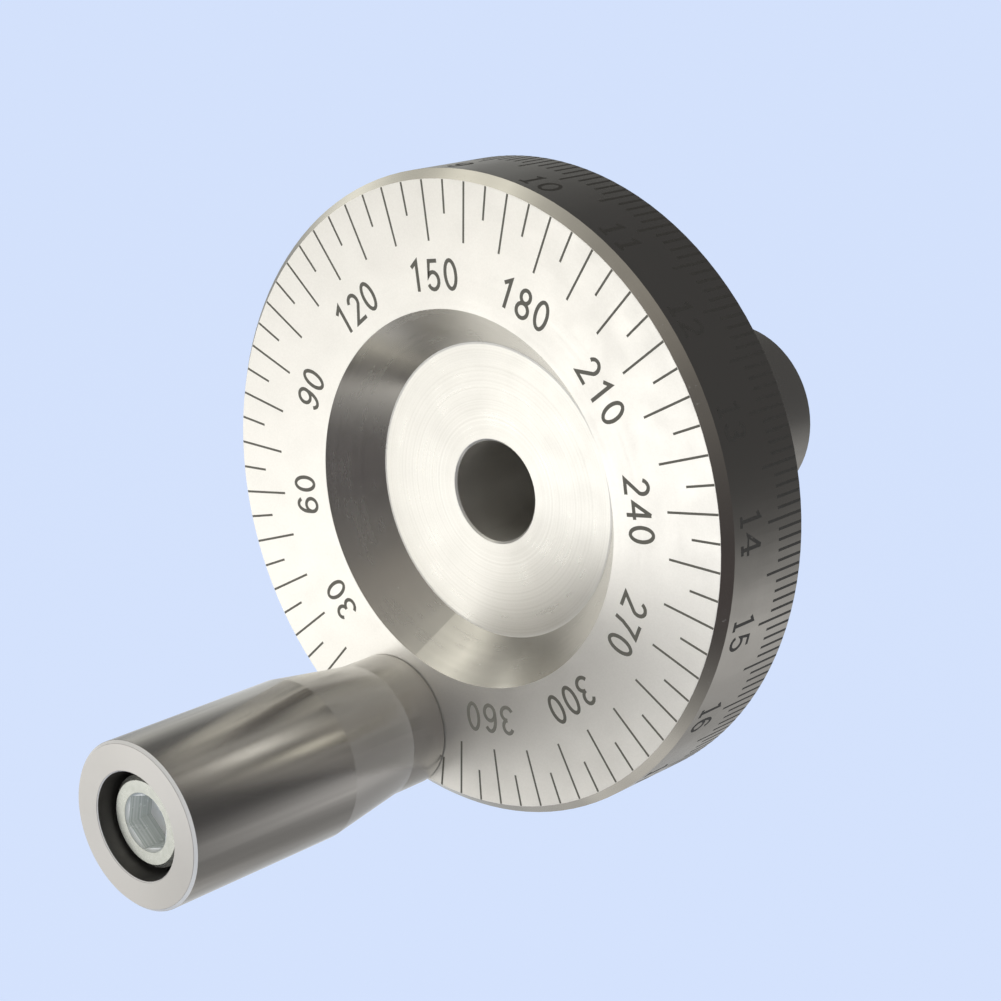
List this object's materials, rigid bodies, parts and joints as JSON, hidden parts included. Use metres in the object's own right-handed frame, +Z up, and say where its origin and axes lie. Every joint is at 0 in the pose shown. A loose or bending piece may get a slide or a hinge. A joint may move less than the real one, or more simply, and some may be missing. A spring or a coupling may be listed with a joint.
{
  "type": "machine handwheel",
  "caption": "Solid disc handwheel with an engraved degree dial, a long bored hub and a revolving grip held by a socket-head screw.",
  "frame": {"origin": "centre of the hub's rear face, on the bore's axis", "axes": "+Y along the bore's axis, out of the hub's rear face towards the machine; the dial faces -Y; +Z up"},
  "size_m": [0.125, 0.1575, 0.1284],
  "materials": {
    "turned_aluminium": "satin turned",
    "polished_aluminium": "polished",
    "plain_steel": "ground",
    "zinc_plated_steel": "zinc plated",
    "black_steel": "black oxide"
  },
  "bodies": {
    "wheel": {"wheel_body": "turned_aluminium", "handle_sleeve": "plain_steel", "handle_screw": "zinc_plated_steel", "lower_set_screw": "black_steel", "side_set_screw": "black_steel"},
    "handle": {"handle_grip": "polished_aluminium"}
  },
  "joints": [
    {"name": "handle_spin", "type": "hinge", "parent": "wheel", "child": "handle", "pos_m": [-0.01941, -0.0895, -0.04953], "axis": [0, 1, 0], "continuous": true}
  ]
}
